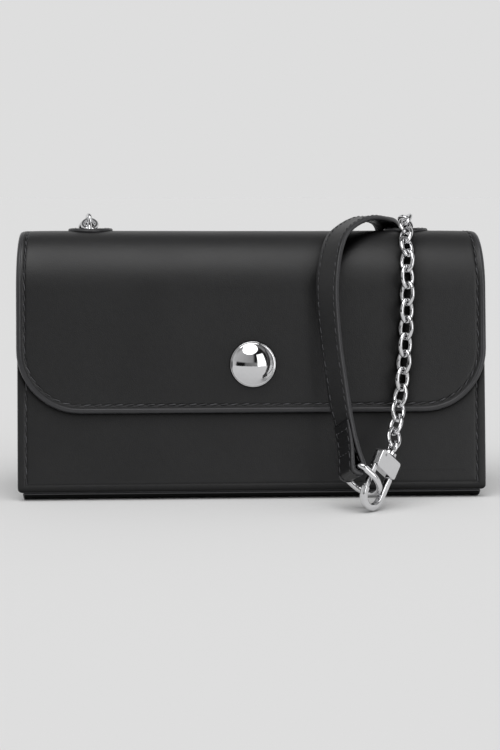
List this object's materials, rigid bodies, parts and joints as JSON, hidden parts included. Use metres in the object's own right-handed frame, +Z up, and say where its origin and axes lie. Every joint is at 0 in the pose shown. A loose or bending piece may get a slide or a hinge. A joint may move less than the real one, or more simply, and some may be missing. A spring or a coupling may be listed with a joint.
{
  "type": "crossbody bag",
  "caption": "Small rigid flap bag in black leather with a domed snap, chain ends through eyelets, a spring clasp and a leather shoulder strap folded behind.",
  "frame": {"origin": "on the floor under the middle of the bag, without its strap", "axes": "the flap faces -Y, +X is across to the bag's left as worn and to the right of the picture, +Z is up"},
  "size_m": [0.194, 0.1061, 0.1174],
  "materials": {
    "body_leather": "smooth black calf with a soft sheen",
    "strap_leather": "smooth black calf, edges painted dark grey",
    "lining_suede": "black suede split, matte",
    "board": "pressed fibre board",
    "tie_elastic": "woven black elastic",
    "chain_metal": "polished nickel plate",
    "polished_metal": "mirror polished nickel plate",
    "steel": "plain plated steel"
  },
  "bodies": {
    "bag": {"front_panel": "body_leather", "base_panel": "body_leather", "back_panel": "body_leather", "left_gusset": "body_leather", "right_gusset": "body_leather", "front_board": "board", "back_board": "board", "base_board": "board", "lining": "lining_suede", "slip_pocket": "lining_suede", "flap_root": "body_leather", "left_eyelet_patch": "body_leather", "right_eyelet_patch": "body_leather", "left_chain_tab": "body_leather", "right_chain_tab": "body_leather", "left_anchor_ring": "steel", "right_anchor_ring": "steel", "magnet_socket": "steel", "socket_washer": "steel", "right_chain_inner": "chain_metal", "chain_bend": "chain_metal", "left_chain": "chain_metal", "strap_arch": "strap_leather", "strap_back": "strap_leather", "strap_hank": "strap_leather", "hank_tie": "tie_elastic", "far_ring": "polished_metal"},
    "flap": {"flap_outer": "body_leather", "flap_lining": "lining_suede", "flap_board": "board", "stud_cap": "polished_metal", "stud_washer": "steel", "magnet_stud": "steel", "right_chain": "chain_metal", "strap_front": "strap_leather", "clasp_swivel": "polished_metal"},
    "strap_ring": {"strap_ring": "polished_metal"},
    "clasp": {"clasp_body": "polished_metal", "clasp_hook": "polished_metal", "gate_pin": "steel", "gate_spring": "steel"},
    "gate": {"clasp_gate": "polished_metal"}
  },
  "joints": [
    {"name": "flap_hinge", "type": "hinge", "parent": "bag", "child": "flap", "pos_m": [0, 0.0007, 0.10915], "axis": [-1, 0, 0], "range_deg": [0, 110], "deforming": ["strap_arch", "chain_bend"]},
    {"name": "ring_swing", "type": "hinge", "parent": "flap", "child": "strap_ring", "pos_m": [0.03817, -0.05392, 0.0164], "axis": [0.3867, -0.8159, 0.4299], "range_deg": [-10, 2]},
    {"name": "clasp_turn", "type": "hinge", "parent": "flap", "child": "clasp", "pos_m": [0.0518, -0.0509, 0.0183], "axis": [0.4274, 0.3913, 0.815], "range_deg": [-10, 2]},
    {"name": "gate_pivot", "type": "hinge", "parent": "clasp", "child": "gate", "pos_m": [0.05029, -0.05243, 0.02253], "axis": [0.6898, -0.7238, -0.0142], "range_deg": [0, 12], "stiffness_Nm_per_rad": 0.002, "springref_deg": -17.19, "deforming": ["gate_spring"]}
  ]
}
